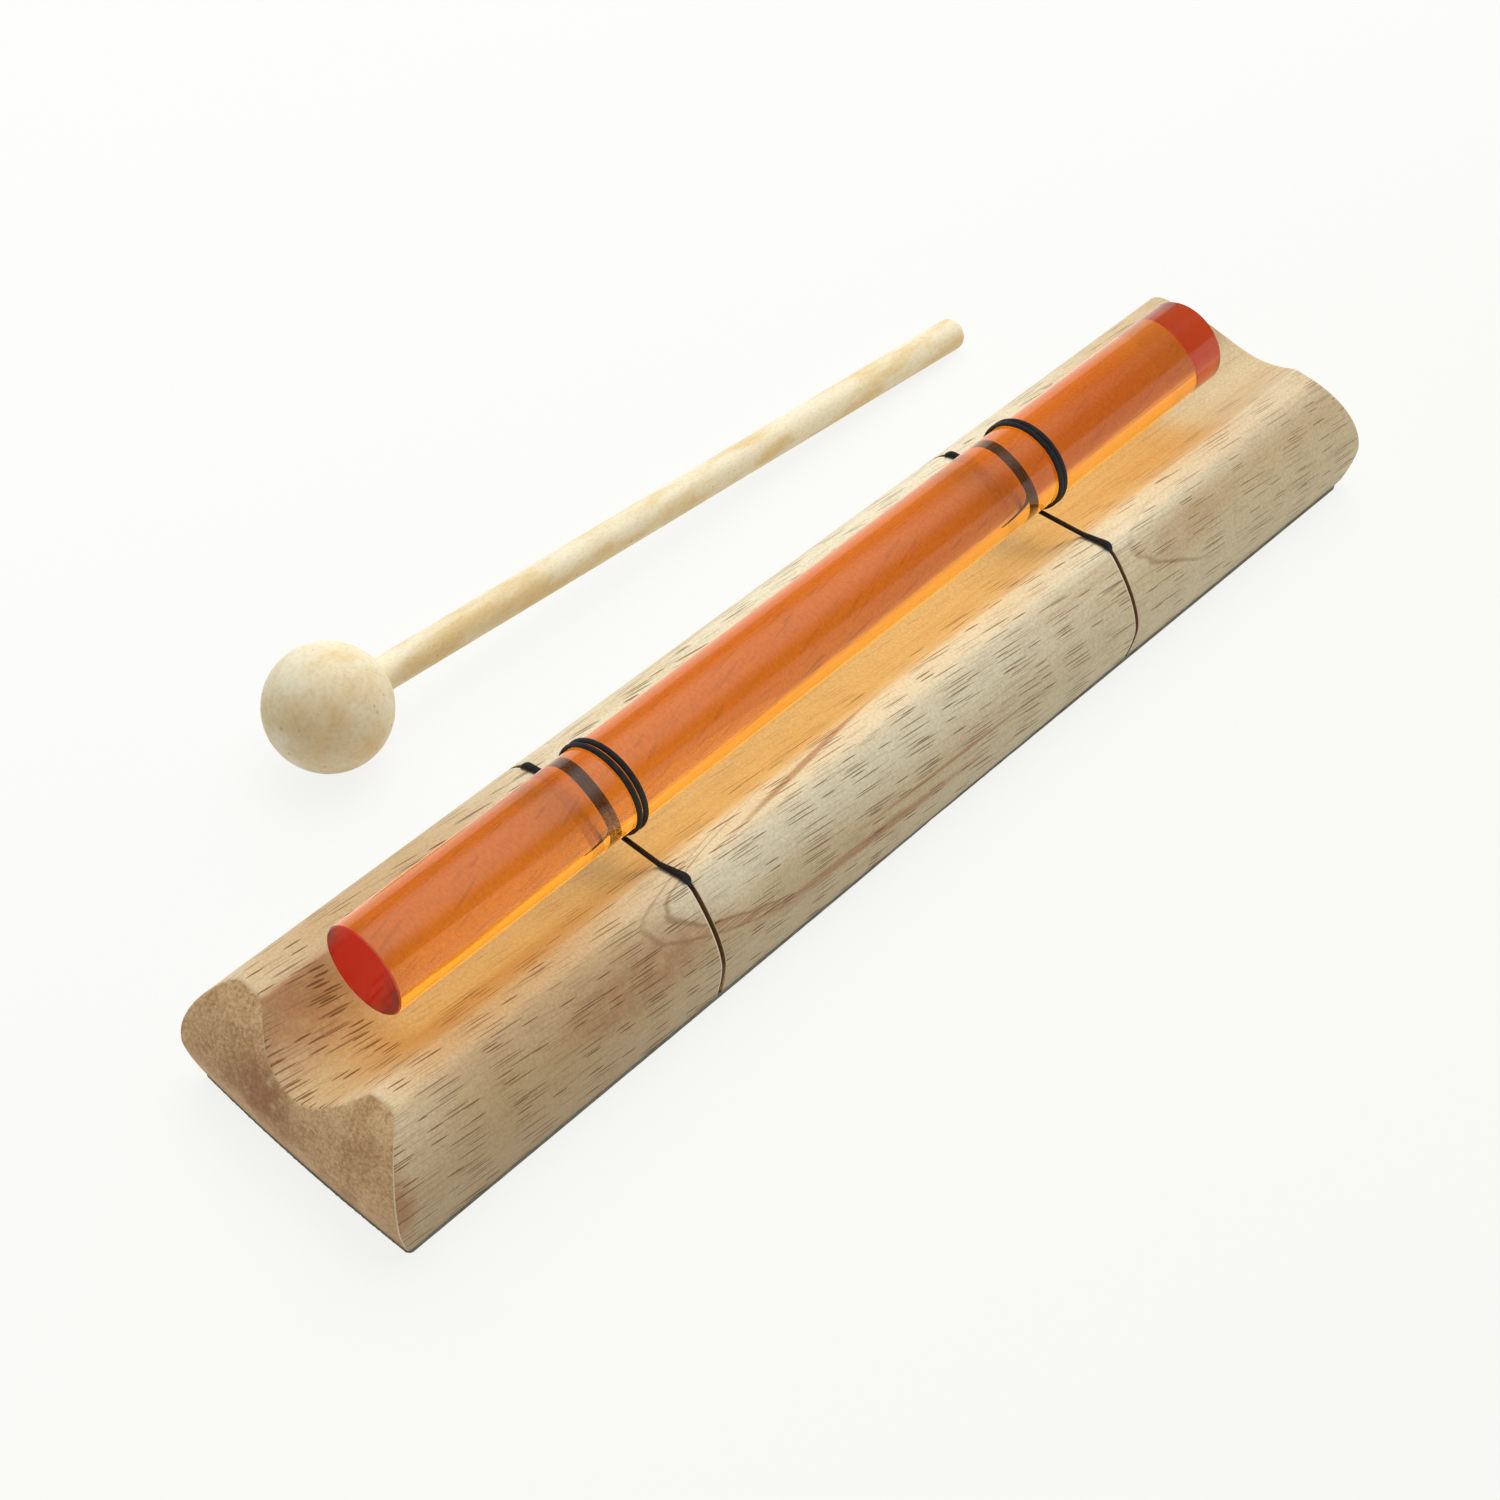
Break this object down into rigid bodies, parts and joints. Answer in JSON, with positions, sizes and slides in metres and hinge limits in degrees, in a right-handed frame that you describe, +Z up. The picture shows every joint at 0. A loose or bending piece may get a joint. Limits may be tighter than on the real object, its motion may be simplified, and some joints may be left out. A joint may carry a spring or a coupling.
{
  "type": "chime bar",
  "caption": "Chime bar: a tinted see-through rod hung on elastic cords over a grooved wooden base, with a wooden ball mallet beside it.",
  "frame": {"origin": "middle of the underside of the base's felt strip, on the table", "axes": "+X runs along the rod, +Y points across the base to the mallet, +Z is up"},
  "size_m": [0.3028, 0.1237, 0.0523],
  "materials": {
    "base_wood": "matte",
    "pad_felt": "matte",
    "rod_glass": "polished",
    "elastic_cord": "matte",
    "mallet_wood": "satin"
  },
  "bodies": {
    "base": {"base_block": "base_wood", "base_pad": "pad_felt", "near_cord_run_right": "elastic_cord", "near_cord_run_left": "elastic_cord", "near_cord_knot": "elastic_cord", "near_cord_span_right": "elastic_cord", "near_cord_span_left": "elastic_cord", "far_cord_run_right": "elastic_cord", "far_cord_run_left": "elastic_cord", "far_cord_knot": "elastic_cord", "far_cord_span_right": "elastic_cord", "far_cord_span_left": "elastic_cord"},
    "rod": {"chime_rod": "rod_glass", "near_cord_wrap": "elastic_cord", "far_cord_wrap": "elastic_cord"},
    "mallet": {"mallet_head": "mallet_wood", "mallet_handle": "mallet_wood"}
  },
  "joints": [
    {"name": "rod_bounce", "type": "slide", "parent": "base", "child": "rod", "axis": [0, 0, 1], "range_m": [-0.003, 0.004], "stiffness_N_per_m": 2000, "springref_m": 0.00097, "deforming": ["near_cord_span_right", "near_cord_span_left", "far_cord_span_right", "far_cord_span_left"]},
    {"name": "mallet_lift", "type": "slide", "parent": "base", "child": "mallet", "axis": [0, 0, 1], "range_m": [0, 0.12]}
  ]
}
